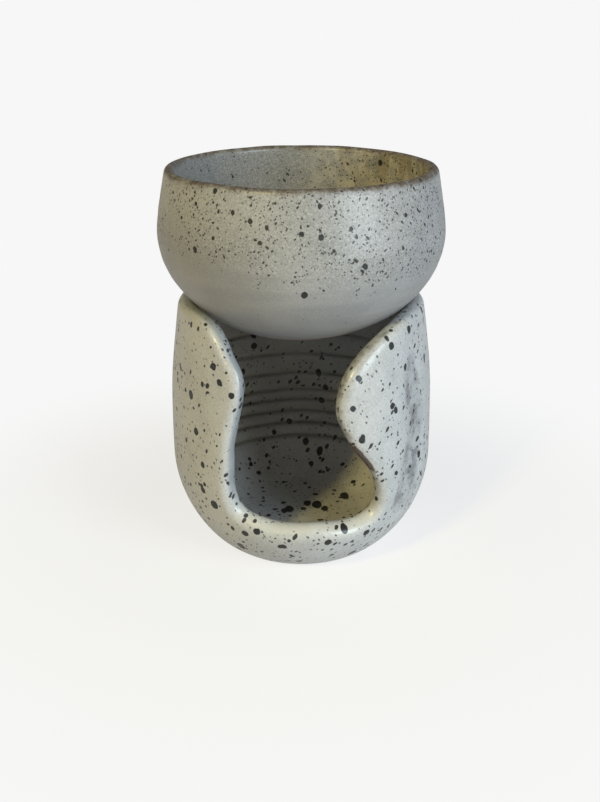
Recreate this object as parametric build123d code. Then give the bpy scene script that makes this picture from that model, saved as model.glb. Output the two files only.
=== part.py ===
# Stoneware essential oil burner in two loose pieces: a candle chamber thrown as
# a round-bottomed cylinder, with an hourglass mouth cut down through its rim, and
# an oil bowl whose round underside rests in that rim.
# Millimetres, +Z up, origin at the middle of the foot. The mouth faces -Y.
import os
from math import acos, asin, atan2, cos, degrees, hypot, pi, sin, sqrt

from build123d import *

# Burner base, outside
base_height = 93.0
base_rim_radius = 43.0
base_wide_radius = 47.3
base_wide_height = 36.0
base_foot_radius = 28.8
base_lower_dip = 5.4  # how far the lower curve would run on below the foot
foot_recess_radius = 22.0
foot_recess_depth = 1.2

# Burner base, inside
base_wall = 6.6
base_floor = 8.0
base_floor_radius = 23.0
base_inner_dip = 2.0  # how far the inner curve would run on below the floor

# Mouth: arcs round the outside of the wall, from the middle of the front
mouth_sill_height = 21.2
mouth_low_left = 26.7
mouth_low_left_height = 46.0
mouth_low_right = 30.6
mouth_low_right_height = 34.0
mouth_neck_left = 21.8
mouth_neck_left_height = 71.0
mouth_neck_right = 11.1
mouth_neck_right_height = 72.0
mouth_top_left = 52.0
mouth_top_right = 44.0
sill_fall_share = 0.6  # fall of the sill for each length outwards
lip_share = 0.45  # rounding of each lip edge, of the wall

# Points between the mouth's corners: shares of the arc and of the height
neck_to_rim_left_shares = ((0.06, 0.28), (0.23, 0.58), (0.46, 0.87), (0.72, 0.975))
neck_to_low_left_shares = ((0.64, 0.60),)
low_to_sill_left_shares = ((0.005, 0.36), (0.045, 0.75), (0.18, 0.98))
sill_flat_shares = (-0.42, 0.46)
low_to_sill_right_shares = ((0.035, 0.63), (0.16, 0.975))
low_to_neck_right_shares = ((0.21, 0.23), (0.61, 0.48), (0.90, 0.74))
neck_to_rim_right_shares = ((0.06, 0.31), (0.28, 0.73), (0.60, 0.95))
back_rim_shares = (0.03, 0.10, 0.22, 0.36, 0.50, 0.64, 0.78, 0.90, 0.97)

# Throwing rings: round-ended grooves across the back of the chamber
ring_height_shares = (0.230, 0.283, 0.334, 0.386, 0.434, 0.513, 0.604, 0.705)
ring_section_radius = 2.4
ring_depth = 0.5
ring_sweep = 210.0  # degrees

# Oil bowl
bowl_belly_radius = 49.0
bowl_lower_depth = 37.4  # half height of the ellipse below the belly
bowl_wall_rise = 19.8  # from the belly to where the lip's rounding starts
bowl_rim_radius = 45.9
bowl_shoulder_share = 0.2  # where the wall starts to lean, of its rise
bowl_foot_radius = 21.0
bowl_wall = 4.6
bowl_rim_wall = 3.4
bowl_floor = 5.5
bowl_floor_radius = 9.0
bowl_seat_gap = 0.25
seat_angle_tolerance = 1e-9  # radians

cut_overrun = 8.0


def blend(start, end, share):
    return start + (end - start) * share


def lower_ellipse(foot_radius, foot_height, wide_radius, dip):
    """Half width, half height and start angle of the curve from foot to wall."""
    rise = base_wide_height - foot_height
    half_height = rise + dip
    angle = asin(rise / half_height)
    half_width = (wide_radius - foot_radius) / (1 - cos(angle))
    return half_width, half_height, degrees(angle)


def wall_radius(height, foot_radius, foot_height, wide_radius, rim_radius, dip):
    """Radius of one of the two wall faces at a height; the upper wall is a parabola."""
    if height > base_wide_height:
        share = (height - base_wide_height) / (base_height - base_wide_height)
        return blend(wide_radius, rim_radius, share**2)
    half_width, half_height, _ = lower_ellipse(foot_radius, foot_height, wide_radius, dip)
    share = (base_wide_height - height) / half_height
    return wide_radius - half_width * (1 - sqrt(1 - share**2))


outer_face = (base_foot_radius, 0, base_wide_radius, base_rim_radius, base_lower_dip)
inner_face = (
    base_floor_radius,
    base_floor,
    base_wide_radius - base_wall,
    base_rim_radius - base_wall,
    base_inner_dip,
)


def cup(foot_radius, foot_height, wide_radius, rim_radius, dip):
    """Solid of revolution under one wall face, run on past the rim."""
    half_width, half_height, angle = lower_ellipse(foot_radius, foot_height, wide_radius, dip)
    top = base_height + cut_overrun
    sizes = (foot_radius, foot_height, wide_radius, rim_radius, dip)
    with BuildSketch(Plane.XZ) as section:
        with BuildLine():
            Line((0, foot_height), (foot_radius, foot_height))
            EllipticalCenterArc(
                (wide_radius - half_width, base_wide_height),
                half_width,
                half_height,
                start_angle=-angle,
                arc_size=angle,
            )
            wall = Bezier(
                (wide_radius, base_wide_height),
                (wide_radius, blend(base_wide_height, top, 0.5)),
                (wall_radius(top, *sizes), top),
            )
            Polyline(wall @ 1, (0, top), (0, foot_height))
        make_face()
    return revolve(section.sketch, Axis.Z)


def flank(start, end, shares):
    """Points between two corners of the mouth."""
    return [(blend(start[0], end[0], along), blend(start[1], end[1], up)) for along, up in shares]


def mouth_outline():
    """Unrolled edge of the mouth, from the left rim down and up to the right rim."""
    top_left = (-mouth_top_left, base_height)
    neck_left = (-mouth_neck_left, mouth_neck_left_height)
    low_left = (-mouth_low_left, mouth_low_left_height)
    sill = (0, mouth_sill_height)
    low_right = (mouth_low_right, mouth_low_right_height)
    neck_right = (mouth_neck_right, mouth_neck_right_height)
    top_right = (mouth_top_right, base_height)
    return [
        top_left,
        *reversed(flank(neck_left, top_left, neck_to_rim_left_shares)),
        neck_left,
        *flank(neck_left, low_left, neck_to_low_left_shares),
        low_left,
        *flank(low_left, sill, low_to_sill_left_shares),
        *[(share * mouth_low_left, mouth_sill_height) for share in sill_flat_shares],
        *reversed(flank(low_right, sill, low_to_sill_right_shares)),
        low_right,
        *flank(low_right, neck_right, low_to_neck_right_shares),
        neck_right,
        *flank(neck_right, top_right, neck_to_rim_right_shares),
        top_right,
    ]


def upper_edge(radius):
    """Rim and mouth as one closed curve at a radius; the sill falls outwards."""
    middle_radius = base_wide_radius - base_wall / 2
    right_end = mouth_top_right / base_wide_radius
    left_end = 2 * pi - mouth_top_left / base_wide_radius
    around = [(arc / base_wide_radius, height) for arc, height in mouth_outline()]
    around += [(blend(right_end, left_end, share), base_height) for share in back_rim_shares]
    points = []
    for angle, height in around:
        depth_share = (base_height - height) / (base_height - mouth_sill_height)
        fall = sill_fall_share * (radius - middle_radius) * depth_share**2
        points.append((radius * sin(angle), -radius * cos(angle), height - fall))
    return Wire([Spline(*points, periodic=True)])


def make_base():
    walls = cup(*outer_face) - cup(*inner_face)
    inner_edge = upper_edge(base_rim_radius - base_wall - cut_overrun)
    outer_edge = upper_edge(base_wide_radius + cut_overrun)
    trim = Shell.make_loft([inner_edge, outer_edge], ruled=True)
    body = ShapeList(walls.solid().split(trim, Keep.ALL)).sort_by(Axis.Z)[0]

    # The wall's cut edge gets one lip that runs round rim and mouth
    cut_face = body.faces().filter_by(GeomType.BSPLINE)[0]
    lip_edges = cut_face.edges().filter_by(lambda edge: edge.length > 2 * base_wall)
    body = body.fillet(lip_share * base_wall, lip_edges)

    for share in ring_height_shares:
        height = share * base_height
        reach = wall_radius(height, *inner_face) + ring_depth - ring_section_radius
        start = Rot(0, 0, 90 - ring_sweep / 2)
        end = Rot(0, 0, 90 + ring_sweep / 2)
        ring = start * Torus(reach, ring_section_radius, major_angle=ring_sweep)
        ring += [turn * Pos(reach, 0, 0) * Sphere(ring_section_radius) for turn in (start, end)]
        body -= Pos(0, 0, height) * ring
    recess = Cylinder(
        foot_recess_radius, foot_recess_depth, align=(Align.CENTER, Align.CENTER, Align.MIN)
    )
    return body - recess


def lip_seat():
    """Centre and radius of the lip's inner rounding in the half section."""
    rounding = lip_share * base_wall
    height = base_height - rounding
    lean = 2 * (base_wide_radius - base_rim_radius) / (base_height - base_wide_height)
    return wall_radius(height, *inner_face) + rounding * hypot(1, lean), height, rounding


def bowl_belly_height():
    """Height at which the bowl's lower ellipse rests on the lip with its gap."""
    seat_radius, seat_height, rounding = lip_seat()
    stand_off = rounding + bowl_seat_gap
    shallow, steep = 0, pi / 2
    while steep - shallow > seat_angle_tolerance:
        angle = blend(shallow, steep, 0.5)
        slope = hypot(bowl_lower_depth * cos(angle), bowl_belly_radius * sin(angle))
        reach = cos(angle) * (bowl_belly_radius + stand_off * bowl_lower_depth / slope)
        if reach > seat_radius:
            shallow = angle
        else:
            steep = angle
    return seat_height + sin(angle) * (bowl_lower_depth + stand_off * bowl_belly_radius / slope)


def make_bowl():
    belly = bowl_belly_height()
    foot_angle = acos(bowl_foot_radius / bowl_belly_radius)
    foot = belly - bowl_lower_depth * sin(foot_angle)

    # Above the belly's soft shoulder the wall leans in almost straight
    shoulder = belly + bowl_shoulder_share * bowl_wall_rise
    lean = atan2(bowl_belly_radius - bowl_rim_radius, belly + bowl_wall_rise - shoulder)

    # The lip is a half circle that stands on the leaning wall
    lip_radius = bowl_rim_wall / 2
    outer_end = Vector(bowl_rim_radius, belly + bowl_wall_rise)
    lip_middle = outer_end - Vector(cos(lean), sin(lean)) * lip_radius
    lip_top = lip_middle + Vector(-sin(lean), cos(lean)) * lip_radius
    inner_end = outer_end - Vector(cos(lean), sin(lean)) * bowl_rim_wall

    inner_radius = bowl_belly_radius - bowl_wall
    floor = foot + bowl_floor
    floor_angle = acos(bowl_floor_radius / inner_radius)
    inner_depth = (belly - floor) / sin(floor_angle)
    with BuildSketch(Plane.XZ) as section:
        with BuildLine():
            Line((0, foot), (bowl_foot_radius, foot))
            EllipticalCenterArc(
                (0, belly),
                bowl_belly_radius,
                bowl_lower_depth,
                start_angle=-degrees(foot_angle),
                arc_size=degrees(foot_angle),
            )
            Bezier((bowl_belly_radius, belly), (bowl_belly_radius, shoulder), outer_end)
            ThreePointArc(outer_end, lip_top, inner_end)
            Bezier(inner_end, (inner_radius, shoulder), (inner_radius, belly))
            EllipticalCenterArc(
                (0, belly), inner_radius, inner_depth, arc_size=-degrees(floor_angle)
            )
            Polyline((bowl_floor_radius, floor), (0, floor), (0, foot))
        make_face()
    return revolve(section.sketch, Axis.Z)


os.makedirs("parts", exist_ok=True)
export_step(make_base(), "parts/burner_base.step")
export_step(make_bowl(), "parts/oil_bowl.step")
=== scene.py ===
from math import acos, asin, cos, degrees, e, pi, radians, sin

import bmesh
import bpy
import numpy as np
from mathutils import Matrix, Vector, noise


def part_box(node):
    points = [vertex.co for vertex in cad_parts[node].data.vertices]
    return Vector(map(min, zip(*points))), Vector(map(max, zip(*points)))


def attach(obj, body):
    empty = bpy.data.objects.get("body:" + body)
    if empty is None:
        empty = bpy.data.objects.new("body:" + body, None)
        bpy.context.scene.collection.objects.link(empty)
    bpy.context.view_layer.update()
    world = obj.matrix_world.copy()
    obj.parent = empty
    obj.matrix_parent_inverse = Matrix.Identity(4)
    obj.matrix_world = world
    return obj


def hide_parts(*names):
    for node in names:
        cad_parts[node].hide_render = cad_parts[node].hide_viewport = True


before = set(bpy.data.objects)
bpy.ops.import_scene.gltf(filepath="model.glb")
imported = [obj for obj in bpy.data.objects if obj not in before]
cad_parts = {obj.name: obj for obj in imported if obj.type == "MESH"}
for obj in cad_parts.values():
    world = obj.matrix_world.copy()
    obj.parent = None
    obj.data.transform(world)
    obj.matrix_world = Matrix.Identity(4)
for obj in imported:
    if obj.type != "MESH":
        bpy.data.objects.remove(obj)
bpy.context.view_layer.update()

bowlLow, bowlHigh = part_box("oil_bowl")
scene = bpy.context.scene
scene.view_settings.view_transform = "Standard"


# A socket that takes part in Python sums; every operator adds a Math node
class Wire:
    def __init__(self, graph, socket):
        self.graph = graph
        self.socket = socket

    def math(self, operation, *others):
        return self.graph.node("ShaderNodeMath", {"operation": operation}, [self, *others])

    def __add__(self, other):
        return self.math("ADD", other)

    def __sub__(self, other):
        return self.math("SUBTRACT", other)

    def __rsub__(self, other):
        return self.graph.node("ShaderNodeMath", {"operation": "SUBTRACT"}, [other, self])

    def __mul__(self, other):
        return self.math("MULTIPLY", other)

    def __truediv__(self, other):
        return self.math("DIVIDE", other)

    def __rtruediv__(self, other):
        return self.graph.node("ShaderNodeMath", {"operation": "DIVIDE"}, [other, self])

    def __pow__(self, other):
        return self.math("POWER", other)

    def __rpow__(self, other):
        return self.graph.node("ShaderNodeMath", {"operation": "POWER"}, [other, self])

    def __neg__(self):
        return self * -1

    __radd__ = __add__
    __rmul__ = __mul__

    def below(self, other):
        return self.math("LESS_THAN", other)

    def most(self, other):
        return self.math("MAXIMUM", other)

    def least(self, other):
        return self.math("MINIMUM", other)

    # 0 at start, 1 at end, eased between; start may lie above end
    def ramp(self, start, end):
        if start > end:
            return 1 - self.ramp(end, start)
        sockets = {"Value": self, "From Min": start, "From Max": end}
        return self.graph.node("ShaderNodeMapRange", {"interpolation_type": "SMOOTHSTEP"}, sockets)

    # A soft hill of height 1 round a middle
    def hill(self, middle, reach):
        away = (self - middle) / reach
        return e ** -(away * away)


class Graph:
    def __init__(self, tree):
        self.tree = tree

    # One way to make any node: its settings first, then values or links by socket
    def node(self, kind, settings=None, sockets=None, output=0):
        made = self.tree.nodes.new(kind)
        for key, value in (settings or {}).items():
            setattr(made, key, value)
        pairs = sockets.items() if isinstance(sockets, dict) else enumerate(sockets or [])
        for key, value in pairs:
            if isinstance(value, Wire):
                self.tree.links.new(value.socket, made.inputs[key])
            else:
                made.inputs[key].default_value = value
        return Wire(self, made.outputs[output]) if made.outputs else None

    # More outputs of the node behind a wire
    def several(self, first, *names):
        return [Wire(self, first.socket.node.outputs[name]) for name in names]

    def vector(self, operation, *sockets):
        return self.node("ShaderNodeVectorMath", {"operation": operation}, list(sockets))

    def scaled(self, vector, factor):
        sockets = {"Vector": vector, "Scale": factor}
        return self.node("ShaderNodeVectorMath", {"operation": "SCALE"}, sockets)

    def combine(self, x, y, z):
        return self.node("ShaderNodeCombineXYZ", None, [x, y, z])

    def separate(self, vector):
        first = self.node("ShaderNodeSeparateXYZ", None, [vector])
        return self.several(first, "X", "Y", "Z")

    def mix(self, factor, first, second):
        sockets = {0: factor, 6: first, 7: second}
        return self.node("ShaderNodeMix", {"data_type": "RGBA"}, sockets, 2)

    # Noise whose grain has a size in the vector's own units
    def noise(self, vector, size, detail=2.0, rough=0.5):
        sockets = {"Vector": vector, "Scale": 1 / size, "Detail": detail, "Roughness": rough}
        return self.node("ShaderNodeTexNoise", None, sockets)

    # The vector pushed about by noise
    def warped(self, vector, size, reach):
        push = self.several(self.noise(vector, size), "Color")[0]
        centred = self.vector("SUBTRACT", push, (0.5, 0.5, 0.5))
        return self.vector("ADD", vector, self.scaled(centred, 2 * reach))


def colour(red, green, blue):
    return (red, green, blue, 1.0)


# Camera, fitted to the photograph's outline
cameraLook = {
    "imageHeight": 802,
    "sensor": 36.0,
    "focalPixels": 999.9,
    "place": (-0.0005, -0.340, 0.1922),
    "pitch": 22.43,
}


def addCamera(look):
    data = bpy.data.cameras.new("photoCamera")
    data.sensor_width = look["sensor"]
    data.lens = look["focalPixels"] * look["sensor"] / look["imageHeight"]
    data.clip_start = 0.01
    camera = bpy.data.objects.new("photoCamera", data)
    camera.location = look["place"]
    camera.rotation_euler = (radians(90 - look["pitch"]), 0, 0)
    scene.collection.objects.link(camera)
    scene.camera = camera
    print("camera lens", round(data.lens, 2))


# Studio: cool daylight from the right, a warm lamp from the left, a pale floor
studioLook = {
    "background": 0.93,
    "ambient": 0.11,
    "mirrored": 0.20,
    "floorSize": 60.0,
    "floorColour": colour(0.82, 0.82, 0.81),
    "floorBounce": 0.43,
    "floorLit": 0.60,
    "shadowShare": 0.36,
    "shadowNear": 0.06,
    "shadowFar": 0.19,
}
lampLooks = (
    {"name": "windowRight", "place": (0.80, -0.80, 0.38), "size": (0.52, 0.88), "power": 13.3,
     "colour": (0.76, 0.90, 1.0)},
    {"name": "lampLeft", "place": (-0.58, -0.84, 0.74), "size": (0.15, 0.15), "power": 6.4,
     "colour": (1.0, 0.84, 0.34)},
)
lampTarget = Vector((0, 0, 0.07))


# The world: white where the camera looks, dimmer where it lights or mirrors
def addWorld(look):
    world = bpy.data.worlds.new("studioWorld")
    scene.world = world
    world.use_nodes = True
    world.node_tree.nodes.clear()
    graph = Graph(world.node_tree)
    camera = graph.node("ShaderNodeLightPath", output="Is Camera Ray")
    glossy, passing = graph.several(camera, "Is Glossy Ray", "Is Transmission Ray")
    level = (glossy * look["mirrored"]).most(look["ambient"])
    level = level.most(camera.most(passing) * look["background"])
    shine = graph.node("ShaderNodeBackground", None, {"Color": level})
    graph.node("ShaderNodeOutputWorld", None, {"Surface": shine})


# The floor glows as the background does, and near the burner it takes a shadow
def addFloorFinish(look):
    material = bpy.data.materials.new("studioFloor")
    material.use_nodes = True
    material.node_tree.nodes.clear()
    graph = Graph(material.node_tree)
    place = graph.node("ShaderNodeTexCoord", output="Object")
    reach = graph.node("ShaderNodeVectorMath", {"operation": "LENGTH"}, [place], "Value")
    share = reach.ramp(look["shadowFar"], look["shadowNear"]) * look["shadowShare"]
    camera = graph.node("ShaderNodeLightPath", output="Is Camera Ray")
    seen = (look["background"] - share * look["floorLit"]) / (1 - share)
    level = camera * (seen - look["floorBounce"]) + look["floorBounce"]
    glow = graph.node("ShaderNodeEmission", None, {"Color": level})
    cloth = graph.node("ShaderNodeBsdfDiffuse", None, {"Color": look["floorColour"]})
    shine = graph.node("ShaderNodeMixShader", None, [share, glow, cloth])
    graph.node("ShaderNodeOutputMaterial", None, {"Surface": shine})
    return material


def addFloor(look):
    half = look["floorSize"] / 2
    corners = [(-half, -half, 0), (half, -half, 0), (half, half, 0), (-half, half, 0)]
    mesh = bpy.data.meshes.new("studioFloor")
    mesh.from_pydata(corners, [], [(0, 1, 2, 3)])
    mesh.materials.append(addFloorFinish(look))
    floor = bpy.data.objects.new("studioFloor", mesh)
    scene.collection.objects.link(floor)


def addLamp(lamp):
    data = bpy.data.lights.new(lamp["name"], "AREA")
    data.shape = "RECTANGLE"
    data.size, data.size_y = lamp["size"]
    data.energy = lamp["power"]
    data.color = lamp["colour"]
    light = bpy.data.objects.new(lamp["name"], data)
    light.location = lamp["place"]
    away = Vector(lamp["place"]) - lampTarget
    light.rotation_euler = away.to_track_quat("Z", "Y").to_euler()
    scene.collection.objects.link(light)


addCamera(cameraLook)
addWorld(studioLook)
addFloor(studioLook)
for lampLook in lampLooks:
    addLamp(lampLook)
print("studio lit by", len(lampLooks), "lamps")


# Glaze: shared steps of both pieces' materials, in millimetres
def startGlaze(name):
    material = bpy.data.materials.new(name)
    material.use_nodes = True
    material.node_tree.nodes.clear()
    graph = Graph(material.node_tree)
    place = graph.scaled(graph.node("ShaderNodeTexCoord", output="Object"), 1000)
    return material, graph, place


# Iron spots that bled through the glaze: one size range of them
def addSpots(graph, place, crowd, layer):
    x, y, z = graph.separate(graph.vector("ADD", place, layer["shift"]))
    leaning = graph.combine(x + z * layer["lean"], y + z * layer["lean"] * 0.6, z * 0.8)
    ragged = graph.warped(leaning, layer["cell"] * 0.55, layer["cell"] * 0.13)
    sockets = {"Vector": ragged, "Scale": 1 / layer["cell"]}
    near = graph.node("ShaderNodeTexVoronoi", None, sockets, "Distance")
    tint = graph.several(near, "Color")[0]
    chance = graph.node("ShaderNodeSeparateColor", None, [tint])
    size = graph.several(chance, "Green")[0]
    radius = size ** layer["bias"] * (layer["most"] - layer["least"]) + layer["least"]
    depth = radius - near * layer["cell"]
    there = chance.below(crowd * layer["share"])
    return depth.ramp(-layer["soft"], layer["soft"]) * there, depth


# A face of the wall laid flat: the arc from the front and the height
def unrolled(graph, place, reach):
    x, y, z = graph.separate(place)
    return graph.combine(x.math("ARCTAN2", -y) * reach, z, 0)


# The largest spots, each at its own place on a flat face and with its own radius
def addMarks(graph, face, marks):
    ragged = graph.warped(graph.warped(face, 2.6, 0.45), 0.8, 0.18)
    shown = 0
    for across, up, radius in marks:
        sockets = [ragged, (across, up, 0)]
        away = graph.node("ShaderNodeVectorMath", {"operation": "DISTANCE"}, sockets, "Value")
        shown = (radius - away).ramp(-0.12, 0.12).most(shown)
    return shown


def arcMarks(marks, reach):
    return [(radians(angle) * reach, height, radius) for angle, height, radius in marks]


# Fine mottle: crystals that dried paler, pores that dried darker
def addMottle(graph, place, share, tone, look):
    grain = graph.noise(place, 0.62, 3.0, 0.65)
    pale = grain.ramp(0.46, 0.76) * look["crystals"] * share
    tone = graph.mix(pale, tone, look["crystalTone"])
    return graph.mix(grain.ramp(0.5, 0.24) * look["pores"] * share, tone, look["ironTone"])


def finishGlaze(graph, tone, roughness, relief, look):
    sockets = {"Height": relief, "Strength": 1.0, "Distance": 0.001}
    bump = graph.node("ShaderNodeBump", None, sockets)
    sockets = {"Base Color": tone, "Roughness": roughness, "Normal": bump}
    sockets |= {"Coat Weight": look["coat"], "Coat Roughness": look["coatRoughness"]}
    shine = graph.node("ShaderNodeBsdfPrincipled", None, sockets)
    graph.node("ShaderNodeOutputMaterial", None, {"Surface": shine})


# Oil bowl, in millimetres
bowlLook = {
    "bellyRadius": 49.0,
    "lowerDepth": 37.4,
    "wallRise": 19.8,
    "rimRadius": 45.9,
    "shoulderShare": 0.2,
    "footRadius": 21.0,
    "wall": 4.6,
    "rimWall": 3.4,
    "floor": 5.5,
    "floorRadius": 9.0,
    "around": 300,
    "footSteps": 8,
    "lowerSteps": 75,
    "wallSteps": 34,
    "lipSteps": 20,
    "innerSteps": 60,
    "floorSteps": 6,
    "wobble": 0.22,
    "rimWave": 0.35,
    "rimFade": 12.0,
    "ridge": 0.11,
    "ridgeSize": 3.4,
    "lumpSize": 30.0,
    "ovalTurn": 0.9,
    "ovalShare": 0.6,
    "seatLow": 86.0,
    "seatHigh": 98.0,
    "seatFade": 4.0,
    "lean": -1.1,
    "leanBelow": 91.0,
    "leanFade": 8.0,
    "paleTone": colour(0.405, 0.395, 0.382),
    "greyTone": colour(0.315, 0.308, 0.30),
    "veilAndShadeTone": colour(0.24, 0.232, 0.222),
    "crystalTone": colour(0.62, 0.61, 0.585),
    "crystals": 0.6,
    "pores": 0.35,
    "coat": 0.12,
    "coatRoughness": 0.26,
    "insideLightTone": colour(0.66, 0.60, 0.50),
    "tanTone": colour(0.27, 0.235, 0.20),
    "rimTone": colour(0.115, 0.083, 0.058),
    "dripTone": colour(0.27, 0.215, 0.135),
    "ironTone": colour(0.024, 0.023, 0.020),
    "clayTone": colour(0.26, 0.11, 0.075),
}
bowlSpots = (
    {"cell": 0.85, "least": 0.08, "most": 0.30, "bias": 1.3, "share": 0.95, "soft": 0.08,
     "shift": (3.1, 8.2, 1.7), "lean": 0.3, "strength": 0.84},
    {"cell": 1.3, "least": 0.12, "most": 0.42, "bias": 1.5, "share": 0.85, "soft": 0.08,
     "shift": (7.9, 3.3, 5.2), "lean": -0.5, "strength": 0.92},
    {"cell": 2.2, "least": 0.24, "most": 0.62, "bias": 1.6, "share": 0.75, "soft": 0.09,
     "shift": (11.4, 2.9, 6.3), "lean": 0.5, "strength": 0.97},
    {"cell": 4.6, "least": 0.40, "most": 1.0, "bias": 1.6, "share": 0.55, "soft": 0.12,
     "shift": (5.6, 14.8, 9.1), "lean": 0.15, "strength": 1.0},
)
# Largest spots on the wall: degrees from the front, height and radius
bowlMarks = (
    (-44, 131, 0.65),
    (-34, 122, 0.65),
    (-19, 128, 0.85),
    (-15, 122, 0.70),
    (0, 125, 0.80),
    (1, 106, 1.05),
    (7, 124, 0.95),
    (18, 126, 0.70),
    (42, 128, 0.75),
)


# Half section of the bowl from the foot's middle, over the lip, to the floor's middle
def bowlProfile(look, foot):
    footAngle = acos(look["footRadius"] / look["bellyRadius"])
    belly = foot + look["lowerDepth"] * sin(footAngle)
    top = belly + look["wallRise"]
    shoulder = belly + look["shoulderShare"] * look["wallRise"]
    slope = Vector((look["rimRadius"] - look["bellyRadius"], top - shoulder)).normalized()
    across = Vector((slope.y, -slope.x))
    lip = look["rimWall"] / 2
    lipMiddle = Vector((look["rimRadius"], top)) - across * lip
    innerRadius = look["bellyRadius"] - look["wall"]
    innerEnd = lipMiddle - across * lip
    floor = foot + look["floor"]
    floorAngle = acos(look["floorRadius"] / innerRadius)
    innerDepth = (belly - floor) / sin(floorAngle)

    def bent(start, middle, end, share):
        return start * (1 - share) ** 2 + middle * (2 * share * (1 - share)) + end * share**2

    def onEllipse(radius, depth, angle):
        return Vector((radius * cos(angle), belly - depth * sin(angle)))

    steps = look["footSteps"]
    points = [Vector((look["footRadius"] * step / steps, foot)) for step in range(steps)]
    steps = look["lowerSteps"]
    for step in range(steps + 1):
        angle = footAngle * (1 - step / steps)
        points.append(onEllipse(look["bellyRadius"], look["lowerDepth"], angle))
    steps = look["wallSteps"]
    start = Vector((look["bellyRadius"], belly))
    middle = Vector((look["bellyRadius"], shoulder))
    end = Vector((look["rimRadius"], top))
    points += [bent(start, middle, end, step / steps) for step in range(1, steps)]
    lipSteps = look["lipSteps"]
    for step in range(lipSteps + 1):
        angle = pi * step / lipSteps
        points.append(lipMiddle + (across * cos(angle) + slope * sin(angle)) * lip)
    lipIndex = len(points) - 1 - lipSteps / 2
    start = Vector((innerRadius, belly))
    middle = Vector((innerRadius, shoulder))
    points += [bent(innerEnd, middle, start, step / steps) for step in range(1, steps)]
    steps = look["innerSteps"]
    for step in range(steps + 1):
        points.append(onEllipse(innerRadius, innerDepth, floorAngle * step / steps))
    steps = look["floorSteps"]
    for step in range(1, steps + 1):
        points.append(Vector((look["floorRadius"] * (1 - step / steps), floor)))
    return points, lipIndex / (len(points) - 1)


# Lathe tree: turns the profile curve round the axis, with the potter's unevenness
def latheTree(material, sizes, look):
    tree = bpy.data.node_groups.new("potterLathe", "GeometryNodeTree")
    tree.interface.new_socket("Geometry", in_out="INPUT", socket_type="NodeSocketGeometry")
    sockets = {}
    for name, value in sizes.items():
        kind = "NodeSocketInt" if isinstance(value, int) else "NodeSocketFloat"
        made = tree.interface.new_socket(name, in_out="INPUT", socket_type=kind)
        sockets[name] = made.identifier
    tree.interface.new_socket("Geometry", in_out="OUTPUT", socket_type="NodeSocketGeometry")
    graph = Graph(tree)
    profile = graph.node("NodeGroupInput", output="Geometry")
    size = dict(zip(sizes, graph.several(profile, *sizes)))

    count = graph.node("GeometryNodeAttributeDomainSize", {"component": "CURVE"}, [profile])
    counts = {"Vertices X": size["Around"] + 1, "Vertices Y": count}
    sheet = graph.node("GeometryNodeMeshGrid", None, counts)
    index = graph.node("GeometryNodeInputIndex")
    turn = (index / count).math("FLOOR")
    row = index - turn * count
    point = graph.node(
        "GeometryNodeSampleIndex",
        {"data_type": "FLOAT_VECTOR", "domain": "POINT"},
        {"Geometry": profile, "Value": graph.node("GeometryNodeInputPosition"), "Index": row},
    )
    radius, _, height = graph.separate(point)
    angle = turn / size["Around"] * (2 * pi)
    east = angle.math("COSINE")
    north = angle.math("SINE")
    along = row / (count - 1)

    # The wobble fades out where the bowl sits in the base
    tall = height * 1000
    fade = size["Seat Fade"]
    low = (size["Seat Low"] - tall).most(0).least(fade) / fade
    high = (tall - size["Seat High"]).most(0).least(fade) / fade
    free = low + high
    bodyPlace = graph.combine(east * radius * 1000, north * radius * 1000, tall)
    lumps = (graph.noise(bodyPlace, look["lumpSize"], 1.0) - 0.5) * 4
    ringPlace = graph.combine(east * 4, north * 4, tall)
    rings = (graph.noise(ringPlace, look["ridgeSize"], 1.0) - 0.5) * 2
    oval = (angle * 2 + look["ovalTurn"]).math("COSINE") * look["ovalShare"]
    outwards = ((lumps + oval) * size["Wobble"] + rings * size["Ridge"]) * free
    rimPlace = graph.combine(east * 1.3, north * 1.3, 0.4)
    nearTop = ((tall - size["Top"]) / size["Rim Fade"] + 1).most(0)
    wave = (graph.noise(rimPlace, 1.0, 2.0) - 0.5) * 4 * size["Rim Wave"]
    upwards = wave * nearTop * nearTop
    aside = ((size["Lean Below"] - tall) / size["Lean Fade"]).most(0).least(1) * size["Lean"]
    swollen = radius + outwards / 1000 * (radius * 200).least(1)
    spot = graph.combine(east * swollen + aside / 1000, north * swollen, height + upwards / 1000)

    shaped = graph.node("GeometryNodeSetPosition", None, {"Geometry": sheet, "Position": spot})
    marked = graph.node(
        "GeometryNodeStoreNamedAttribute",
        {"data_type": "FLOAT", "domain": "POINT"},
        {"Geometry": shaped, "Name": "along", "Value": along},
    )
    closed = graph.node(
        "GeometryNodeMergeByDistance", None, {"Geometry": marked, "Distance": 2e-6}
    )
    smooth = graph.node("GeometryNodeSetShadeSmooth", None, {"Geometry": closed})
    real = graph.node("GeometryNodeRealizeInstances", None, {"Geometry": smooth})
    done = graph.node("GeometryNodeSetMaterial", None, {"Geometry": real, "Material": material})
    graph.node("NodeGroupOutput", None, {"Geometry": done})
    return tree, sockets


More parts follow.
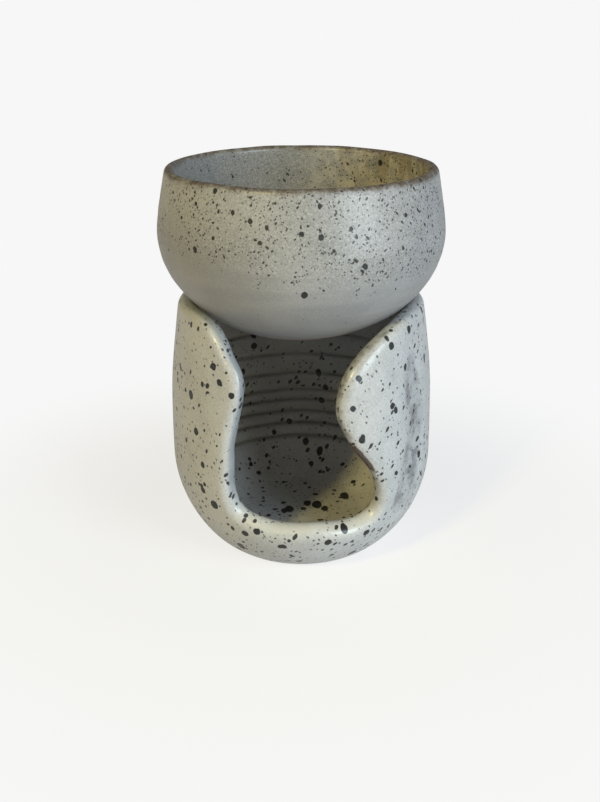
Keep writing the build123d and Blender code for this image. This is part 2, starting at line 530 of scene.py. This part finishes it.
def addBowlGlaze(look, layers, marks, lipShare, top):
    material, graph, place = startGlaze("bowlGlaze")
    x, y, z = graph.separate(place)
    along = graph.node("ShaderNodeAttribute", {"attribute_name": "along"}, None, "Fac")
    inside = along.ramp(lipShare - 0.01, lipShare + 0.03)
    broad = graph.noise(place, 26, 3.0)
    bands = graph.noise(graph.combine(x * 0.12, y * 0.12, z), 4.2, 2.0)
    cloud = (broad - 0.5) * 1.5 + (bands - 0.5) * 0.9 + 0.5
    tone = graph.mix(cloud.ramp(0.2, 0.8), look["greyTone"], look["paleTone"])

    # Brown bands on the underside; painted light below the rim on the left, the wall made paler as
    # if lit from that side
    tan = bands.ramp(0.5, 0.72) * z.ramp(112, 100)
    tone = graph.mix(tan * 0.3, tone, look["tanTone"])
    leftLight = x.ramp(4, -36) * z.ramp(116, 131) * 0.55
    tone = graph.mix(leftLight, tone, look["crystalTone"])

    # A veil of the finest iron above the belly; inside the bowl the same darker tone is painted
    # shade, less of it on the right
    edge = graph.noise(place, 18, 2.0)
    zone = (z + (edge - 0.5) * 22 + x.ramp(-46, 4) * 9).ramp(110, 125)
    side = (x * 0.9 + y * 0.4).ramp(10, 38)
    insideShade = inside * (z.ramp(98, 116) * 0.6 + 0.22)
    veilAndShade = (zone * 0.1 + 0.2) * (1 - inside) + insideShade * (1 - side)
    tone = graph.mix(veilAndShade, tone, look["veilAndShadeTone"])
    # Painted light: warm creamy patches on the inside right, where the left lamp falls
    insideLight = graph.noise(graph.vector("ADD", place, (9, 30, 5)), 5, 3.0).ramp(0.36, 0.62)
    tone = graph.mix(insideLight * side * inside * 0.75, tone, look["insideLightTone"])
    tone = addMottle(graph, place, zone * 0.7 + 0.3, tone, look)

    # Glaze breaks brown over the lip and runs in brown drips inside the rim
    ragged = graph.noise(place, 6, 2.0) * 2.4 + graph.noise(place, 0.9, 2.0) * 1.8
    patches = graph.noise(place, 2.2, 3.0).ramp(0.3, 0.6) * 0.5 + 0.45
    rim = (z + ragged - top).ramp(-0.2, 2.0) * patches
    tone = graph.mix(rim, tone, look["rimTone"])
    streaks = graph.noise(graph.combine(x * 0.45, y * 0.45, z * 0.12), 1.6, 2.0)
    hanging = z.ramp(top - 17, top - 3) * streaks.ramp(0.40, 0.62)
    tone = graph.mix(hanging * side * inside * 0.6, tone, look["dripTone"])

    # Speckles: dense above the belly, almost none on the smooth underside
    dense = zone * (1 - inside * (0.8 - side * 0.9)) + 0.02
    clumps = graph.noise(graph.vector("ADD", place, (40, 7, 90)), 9, 2.0)
    crowd = dense * (clumps.ramp(0.3, 0.72) * 0.9 + 0.35)
    relief = (graph.noise(place, 1.4, 2.0) - 0.5) * 0.06 + (bands - 0.5) * 0.10
    reach = look["bellyRadius"]
    dark = addMarks(graph, unrolled(graph, place, reach), arcMarks(marks, reach)) * (1 - inside)
    for layer in layers:
        mask, _ = addSpots(graph, place, crowd, layer)
        dark = (mask * layer["strength"]).most(dark)
        relief = relief - mask * 0.03
    tone = graph.mix(dark, tone, look["ironTone"])

    # Bare clay under the foot, carried higher on the right as a painted shadow line under the bowl
    foot = bowlLow.z * 1000
    shadowLift = x.ramp(-2, 12) * 1.5 + graph.noise(place, 7, 2.0) * 1.6
    bare = (1 - inside) * (z - shadowLift).ramp(foot + 0.5, foot + 0.1)
    tone = graph.mix(bare, tone, look["clayTone"])
    roughness = graph.noise(place, 8, 3.0) * 0.16 + 0.33 + dark * 0.12 + bare * 0.3
    finishGlaze(graph, tone, roughness, relief, look)
    return material


def addBowl(look, layers, marks):
    points, lipShare = bowlProfile(look, bowlLow.z * 1000)
    curve = bpy.data.curves.new("bowlProfile", "CURVE")
    curve.dimensions = "3D"
    line = curve.splines.new("POLY")
    line.points.add(len(points) - 1)
    for slot, point in zip(line.points, points):
        slot.co = (max(point.x, 0) / 1000, 0, point.y / 1000, 1)
    turned = bpy.data.objects.new("bowlProfile", curve)
    scene.collection.objects.link(turned)
    top = bowlHigh.z * 1000
    material = addBowlGlaze(look, layers, marks, lipShare, top)
    sizes = {
        "Around": look["around"],
        "Wobble": look["wobble"],
        "Rim Wave": look["rimWave"],
        "Rim Fade": look["rimFade"],
        "Ridge": look["ridge"],
        "Seat Low": look["seatLow"],
        "Seat High": look["seatHigh"],
        "Seat Fade": look["seatFade"],
        "Lean": look["lean"],
        "Lean Below": look["leanBelow"],
        "Lean Fade": look["leanFade"],
        "Top": top,
    }
    tree, sockets = latheTree(material, sizes, look)
    lathe = turned.modifiers.new("potterLathe", "NODES")
    lathe.node_group = tree
    for name, value in sizes.items():
        lathe[sockets[name]] = value
    seen = turned.evaluated_get(bpy.context.evaluated_depsgraph_get())
    mesh = bpy.data.meshes.new_from_object(seen)
    turned.modifiers.remove(lathe)
    bpy.data.objects.remove(turned)
    work = bmesh.new()
    work.from_mesh(mesh)
    bmesh.ops.recalc_face_normals(work, faces=work.faces)
    work.to_mesh(mesh)
    work.free()
    bowl = bpy.data.objects.new("bowlGlazed", mesh)
    scene.collection.objects.link(bowl)
    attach(bowl, "bowl")
    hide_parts("oil_bowl")
    print("bowl", len(mesh.vertices), "points")


addBowl(bowlLook, bowlSpots, bowlMarks)


# Burner base, in millimetres and degrees, with the voxel in metres
baseLook = {
    "height": 93.0,
    "rimRadius": 43.0,
    "wideRadius": 47.3,
    "wideHeight": 36.0,
    "footRadius": 28.8,
    "lowerDip": 5.4,
    "wall": 6.6,
    "floor": 8.0,
    "floorRadius": 23.0,
    "innerDip": 2.0,
    "pieceAngles": (-108, -50),
    "pieceHeights": (14.5, 73),
    "pieceInset": 0.02,
    "pieceSteps": 40,
    "voxel": 0.00088,
    "smoothing": 6,
    "standHeights": (1.0, 7.0),
    "seatHeights": (82, 88),
    "wobble": 0.56,
    "wobbleSize": 26,
    "lipWave": 0.448,
    "lipWaveSize": 8,
    "ringHeights": (21.4, 26.3, 31.1, 35.9, 40.4, 47.7, 56.2, 65.6),
    "ringAngles": (66, 84),
    "ringDepth": 0.45,
    "ringReach": 1.0,
    "ringLine": 0.75,
    "hollowAngle": 55,
    "hollowReach": 6.0,
    "hollowDepth": 0.55,
    "hollowLow": (20, 34),
    "hollowHigh": (66, 80),
    "dentStretch": 1.3,
    "pillowAngle": 33,
    "pillowReach": 9,
    "pillowHeight": 62,
    "pillowTall": 17,
    "pillowRise": 0.7,
    "wipeHeight": 48.0,
    "wipeReach": 7.0,
    "wipeLine": 54.4,
    "wipeSlope": 0.7,
    "wipeWidth": 4.5,
    "floorSquash": 0.6,
    "scratchAngle": -54.6,
    "scratchHeight": 44.4,
    "scratchSlope": 0.53,
    "scratchWidth": 0.22,
    "scratchReach": 4.2,
    "scratchOffsets": (0.0, 1.5),
    "paleTone": colour(0.58, 0.575, 0.565),
    "greyTone": colour(0.48, 0.475, 0.465),
    "crystalTone": colour(0.78, 0.775, 0.75),
    "crystals": 0.4,
    "pores": 0.25,
    "coat": 0.25,
    "coatRoughness": 0.18,
    "dentShadeAndScratchTone": colour(0.18, 0.184, 0.192),
    "chamberShadeTone": colour(0.26, 0.255, 0.245),
    "lipGlazeAndShadeTone": colour(0.27, 0.29, 0.305),
    "sillLightTone": colour(0.70, 0.68, 0.61),
    "streakAndShadeTone": colour(0.085, 0.055, 0.045),
    "ringTone": colour(0.12, 0.115, 0.105),
    "ironTone": colour(0.018, 0.018, 0.017),
    "coreTone": colour(0.09, 0.09, 0.08),
    "clayTone": colour(0.42, 0.33, 0.24),
}
baseSpots = (
    {"cell": 1.6, "least": 0.12, "most": 0.44, "bias": 1.3, "share": 0.95, "soft": 0.08,
     "shift": (2.3, 5.1, 7.7), "lean": 0.3, "strength": 0.82},
    {"cell": 3.0, "least": 0.32, "most": 0.86, "bias": 1.4, "share": 0.95, "soft": 0.10,
     "shift": (9.2, 1.3, 4.6), "lean": -0.4, "strength": 0.96},
    {"cell": 6.4, "least": 0.65, "most": 1.35, "bias": 1.3, "share": 0.72, "soft": 0.12,
     "shift": (6.7, 12.1, 3.3), "lean": 0.2, "strength": 1.0},
    {"cell": 10.5, "least": 1.0, "most": 1.9, "bias": 1.3, "share": 0.35, "soft": 0.14,
     "shift": (24.0, 31.0, 4.2), "lean": 0.0, "strength": 1.0},
)
# Largest spots. Outside: degrees from the front, height and radius. In the chamber:
# degrees from the back. On its floor: right, back times the squash, and radius
baseMarks = {
    "outside": (
        (-50, 53, 1.40),
        (-46, 71, 0.95),
        (-46, 32, 1.20),
        (-40, 28, 1.75),
        (-30, 70, 1.10),
        (-26, 19, 1.40),
        (-20, 21, 1.35),
        (-10, 15, 1.00),
        (12, 17, 1.35),
        (20, 21, 1.40),
        (31, 18, 1.35),
        (15, 72, 0.80),
        (17, 80, 0.90),
        (21, 67, 1.00),
        (40, 65, 1.15),
        (41, 85, 1.35),
        (50, 76, 1.20),
        (54, 88, 1.30),
    ),
    "chamber": (
        (-28, 61, 1.35),
        (-17, 23, 1.15),
        (3, 19, 1.40),
        (13, 16, 1.50),
    ),
    "floor": (
        (6.0, 1.2, 1.9),
        (2.3, 1.8, 1.4),
        (-4.6, -1.2, 1.7),
        (-6.4, -2.0, 1.3),
        (9.0, -0.6, 1.3),
        (17.0, 5.4, 1.7),
    ),
}
# Dents in the right lobe: degrees from the front, height, reach and depth
baseDents = (
    (42, 75, 3.5, 0.45),
    (55, 76, 4.5, 0.85),
    (57, 66, 4.5, 0.90),
    (61, 56, 5.0, 0.90),
    (57, 45, 4.5, 0.95),
    (53, 35, 5.0, 1.10),
    (49, 26, 4.5, 1.00),
    (60, 25, 4.5, 0.80),
)


# Radius of a wall face of the base at heights, as the CAD draws it
def faceRadius(look, heights, inset, footRadius, footHeight, dip):
    upper = np.clip((heights - look["wideHeight"]) / (look["height"] - look["wideHeight"]), 0, 1)
    rise = look["wideHeight"] - footHeight
    halfHeight = rise + dip
    wide = look["wideRadius"] - inset
    halfWidth = (wide - footRadius) / (1 - cos(asin(rise / halfHeight)))
    lower = np.clip((look["wideHeight"] - heights) / halfHeight, 0, 1)
    above = wide - (look["wideRadius"] - look["rimRadius"]) * upper**2
    return above - halfWidth * (1 - np.sqrt(1 - lower**2))


def outerRadius(look, heights):
    return faceRadius(look, heights, 0, look["footRadius"], 0, look["lowerDip"])


def innerRadius(look, heights):
    sizes = (look["floorRadius"], look["floor"], look["innerDip"])
    return faceRadius(look, heights, look["wall"], *sizes)


# A closed piece of plain wall that fills the ring cuts on the chamber's left side
def addWallPiece(work, look):
    heights = np.linspace(*look["pieceHeights"], look["pieceSteps"])
    inner = list(zip(innerRadius(look, heights), heights))
    outer = list(zip(outerRadius(look, heights) - look["pieceInset"], heights))
    section = inner + outer[::-1]
    loops = []
    for turn in np.radians(np.linspace(*look["pieceAngles"], look["pieceSteps"])):
        places = [Vector((r * sin(turn), -r * cos(turn), tall)) / 1000 for r, tall in section]
        loops.append([work.verts.new(place) for place in places])
    faces = [work.faces.new(loops[0]), work.faces.new(loops[-1])]
    for first, second in zip(loops, loops[1:]):
        for step in range(len(section)):
            corners = (first[step - 1], second[step - 1], second[step], first[step])
            faces.append(work.faces.new(corners))
    bmesh.ops.recalc_face_normals(work, faces=faces)


# The CAD's base as one even mesh of small faces
def evenBase(look):
    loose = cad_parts["burner_base"].data.copy()
    work = bmesh.new()
    work.from_mesh(loose)
    bmesh.ops.remove_doubles(work, verts=work.verts, dist=1e-6)
    addWallPiece(work, look)
    work.to_mesh(loose)
    work.free()
    base = bpy.data.objects.new("baseGlazed", loose)
    scene.collection.objects.link(base)
    remesh = base.modifiers.new("even", "REMESH")
    remesh.mode = "VOXEL"
    remesh.voxel_size = look["voxel"]
    remesh.use_smooth_shade = True
    soft = base.modifiers.new("soft", "SMOOTH")
    soft.factor = 0.5
    soft.iterations = look["smoothing"]
    seen = base.evaluated_get(bpy.context.evaluated_depsgraph_get())
    even = bpy.data.meshes.new_from_object(seen)
    base.modifiers.clear()
    base.data = even
    even.name = "baseGlazed"
    bpy.data.meshes.remove(loose)
    return base


def eased(values, start, end):
    share = np.clip((values - start) / (end - start), 0, 1)
    return share * share * (3 - 2 * share)


def bell(values, reach):
    return np.exp(-((values / reach) ** 2))


def noiseAt(points, size, shift):
    away = Vector((shift, shift * 2, -shift))
    return np.array([noise.noise(Vector(point) / size + away) for point in points])


def readVectors(mesh, name):
    values = np.zeros(len(mesh.vertices) * 3)
    mesh.vertices.foreach_get(name, values)
    return values.reshape(-1, 3)


# Unevenness, a wavy lip, rings on the chamber's back wall and a pressed right lobe
def shapeBase(mesh, look, dents):
    points = readVectors(mesh, "co") * 1000
    normals = readVectors(mesh, "normal")
    reach = np.hypot(points[:, 0], points[:, 1])
    height = points[:, 2]
    angle = np.degrees(np.arctan2(points[:, 0], -points[:, 1]))
    depth = np.clip((outerRadius(look, height) - reach) / look["wall"], 0, 1)
    seated = eased(height, *look["seatHeights"]) * eased(depth, 0.15, 0.4)
    free = eased(height, *look["standHeights"]) * (1 - seated)
    outer = (1 - eased(depth, 0.1, 0.6)) * free

    def arcFrom(turn):
        return np.radians(angle - turn) * reach

    push = look["wobble"] * noiseAt(points, look["wobbleSize"], 3.1) * free
    lip = 4 * depth * (1 - depth) * free
    push += look["lipWave"] * noiseAt(points, look["lipWaveSize"], 7.7) * lip
    behind = eased(np.abs(angle), *look["ringAngles"]) * eased(depth, 0.8, 0.97)
    for tall in look["ringHeights"]:
        push -= look["ringDepth"] * bell(height - tall, look["ringReach"]) * behind

    hollow = eased(height, *look["hollowLow"]) * (1 - eased(height, *look["hollowHigh"]))
    hollow *= bell(arcFrom(look["hollowAngle"]), look["hollowReach"])
    dent = look["hollowDepth"] * hollow
    for turn, tall, size, deep in dents:
        dent += deep * bell(arcFrom(turn), size) * bell(height - tall, size * look["dentStretch"])
    dent *= outer
    pillow = bell(arcFrom(look["pillowAngle"]), look["pillowReach"])
    pillow *= bell(height - look["pillowHeight"], look["pillowTall"])
    push += look["pillowRise"] * pillow * outer - dent

    points += normals * push[:, None]
    points[:, 2] = np.maximum(points[:, 2], 0)
    mesh.vertices.foreach_set("co", (points / 1000).ravel())
    for name, values in (("depth", depth), ("dent", np.clip(dent, 0, 1))):
        stored = mesh.attributes.new(name, "FLOAT", "POINT")
        stored.data.foreach_set("value", values.astype(np.float32))
    mesh.update()


# Dark clay shows through where the right lip was wiped; the same brown at half strength along the
# right lip's upper edge is painted shade
def wipedAndShadedLip(graph, place, depth, look):
    x, y, z = graph.separate(place)
    ragged = graph.noise(place, 2.6, 3.0)
    edge = depth.ramp(0.02, 0.18) * depth.ramp(0.85, 0.5) * y.ramp(-16, -30)
    stroke = (x + z * look["wipeSlope"] - look["wipeLine"]).hill(0, look["wipeWidth"])
    wiped = stroke * z.hill(look["wipeHeight"], look["wipeReach"]) * edge
    wiped = (wiped + (ragged - 0.5) * 0.6).ramp(0.34, 0.62)
    lipEdgeShade = edge * x.ramp(2, 8) * z.ramp(40, 50) * ragged.ramp(0.42, 0.66)
    return wiped, lipEdgeShade


# Two fine tool scratches on the left lobe
def toolScratches(graph, place, look):
    x, y, z = graph.separate(place)
    turn = x.math("ARCTAN2", -y) * degrees(1)
    along = turn - look["scratchAngle"]
    scratch = 0
    for offset in look["scratchOffsets"]:
        line = z - look["scratchHeight"] + offset + along * look["scratchSlope"]
        length = turn.hill(look["scratchAngle"] + offset, look["scratchReach"])
        scratch = (line.hill(0, look["scratchWidth"]) * length).most(scratch)
    return scratch


# Throwing rings hold a darker line inside
def ringLines(graph, place, inside, look):
    x, y, z = graph.separate(place)
    sway = z + (graph.noise(graph.combine(x, y, z * 0.3), 30, 1.0) - 0.5) * 1.2
    rings = 0
    for height in look["ringHeights"]:
        rings = sway.hill(height, look["ringLine"]).most(rings)
    return rings * inside * (graph.noise(place, 16, 2.0) * 0.9 + 0.35)


def largestSpots(graph, place, inside, marks, look):
    x, y, z = graph.separate(place)
    outer = look["wideRadius"]
    inner = outer - look["wall"]
    outside = addMarks(graph, unrolled(graph, place, outer), arcMarks(marks["outside"], outer))
    fromBack = unrolled(graph, graph.combine(x, -y, z), inner)
    chamber = addMarks(graph, fromBack, arcMarks(marks["chamber"], inner))
    floor = addMarks(graph, graph.combine(x, y * look["floorSquash"], 0), marks["floor"])
    onWall = inside * z.ramp(11, 13)
    onFloor = inside * z.ramp(13, 11) * z.ramp(4, 6)
    return (outside * (1 - inside)).most(chamber * onWall).most(floor * onFloor)


def addBaseGlaze(look, layers, marks):
    material, graph, place = startGlaze("baseGlaze")
    x, y, z = graph.separate(place)
    depth = graph.node("ShaderNodeAttribute", {"attribute_name": "depth"}, None, "Fac")
    dent = graph.node("ShaderNodeAttribute", {"attribute_name": "dent"}, None, "Fac")
    inside = depth.ramp(0.75, 0.97)
    fine = graph.noise(place, 5, 3.0)
    cloud = graph.noise(place, 22, 3.0) * 0.7 + fine * 0.3
    tone = graph.mix(cloud.ramp(0.3, 0.7), look["greyTone"], look["paleTone"])
    tone = addMottle(graph, place, 1, tone, look)

    # Painted shade in the dents and in the chamber, a grey lip that is partly thinner glaze and
    # partly painted shade, and painted light on the sill
    dentShadeNoise = graph.noise(graph.vector("ADD", place, (70, 15, 33)), 6, 4.0, 0.6)
    dentShade = dent.ramp(0.25, 0.9) * (dentShadeNoise.ramp(0.42, 0.60) * 0.6 + 0.25)
    tone = graph.mix(dentShade, tone, look["dentShadeAndScratchTone"])
    # Painted shade in the chamber, more of it higher up and towards the right
    shade = inside * z.ramp(14, 42) * (x.ramp(-34, -8) * 0.4 + 0.2)
    tone = graph.mix(shade, tone, look["chamberShadeTone"])
    # The grey lip is partly thinner glaze over the edges and partly painted shade, stronger on the
    # left lip
    lip = depth.ramp(0.12, 0.34) * depth.ramp(0.98, 0.8) * z.ramp(24, 40)
    lip = lip * (fine * 0.6 + 0.5) * (x.ramp(12, -8) * 0.4 + 0.6)
    tone = graph.mix(lip, tone, look["lipGlazeAndShadeTone"])
    # Painted light: the sill's top made paler and creamier
    sillLight = depth.hill(0.4, 0.34) * z.ramp(30, 22) * z.ramp(14, 20)
    tone = graph.mix(sillLight * 0.6, tone, look["sillLightTone"])

    # The wiped streak, and painted shade along the right lip's edge
    wiped, lipEdgeShade = wipedAndShadedLip(graph, place, depth, look)
    tone = graph.mix((wiped * 0.95).most(lipEdgeShade * 0.5), tone, look["streakAndShadeTone"])
    scratch = toolScratches(graph, place, look)
    tone = graph.mix((scratch * (1 - inside)).ramp(0.35, 0.7) * 0.6, tone, look["dentShadeAndScratchTone"])
    rings = ringLines(graph, place, inside, look)
    tone = graph.mix(rings * 0.95, tone, look["ringTone"])

    # Iron spots in loose clumps, more of them low down, the large ones with a paler core
    clumps = graph.noise(graph.vector("ADD", place, (11, 60, 25)), 13, 2.0)
    crowd = clumps.ramp(0.3, 0.7) * 0.9 + 0.42 + z.ramp(34, 10) * 0.45
    relief = (graph.noise(place, 1.6, 2.0) - 0.5) * 0.07 + (fine - 0.5) * 0.10
    relief = relief - rings * 0.15 - scratch * 0.1
    dark = largestSpots(graph, place, inside, marks, look)
    core = 0
    for layer in layers:
        mask, deep = addSpots(graph, place, crowd, layer)
        dark = (mask * layer["strength"]).most(dark)
        if layer["most"] > 1:
            core = (mask * deep.ramp(0.35, 1.1)).most(core)
        relief = relief - mask * 0.05
    iron = graph.mix(core * 0.45, look["ironTone"], look["coreTone"])
    tone = graph.mix(dark, tone, iron)

    # The foot stands on bare clay
    bare = z.ramp(0.7, 0.3)
    tone = graph.mix(bare, tone, look["clayTone"])
    roughness = graph.noise(place, 9, 3.0) * 0.16 + 0.27 + dark * 0.08 + bare * 0.3 + wiped * 0.2
    finishGlaze(graph, tone, roughness, relief, look)
    return material


def addBase(look, layers, marks, dents):
    base = evenBase(look)
    shapeBase(base.data, look, dents)
    base.data.materials.clear()
    base.data.materials.append(addBaseGlaze(look, layers, marks))
    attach(base, "base")
    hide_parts("burner_base")
    print("base", len(base.data.vertices), "points")


addBase(baseLook, baseSpots, baseMarks, baseDents)
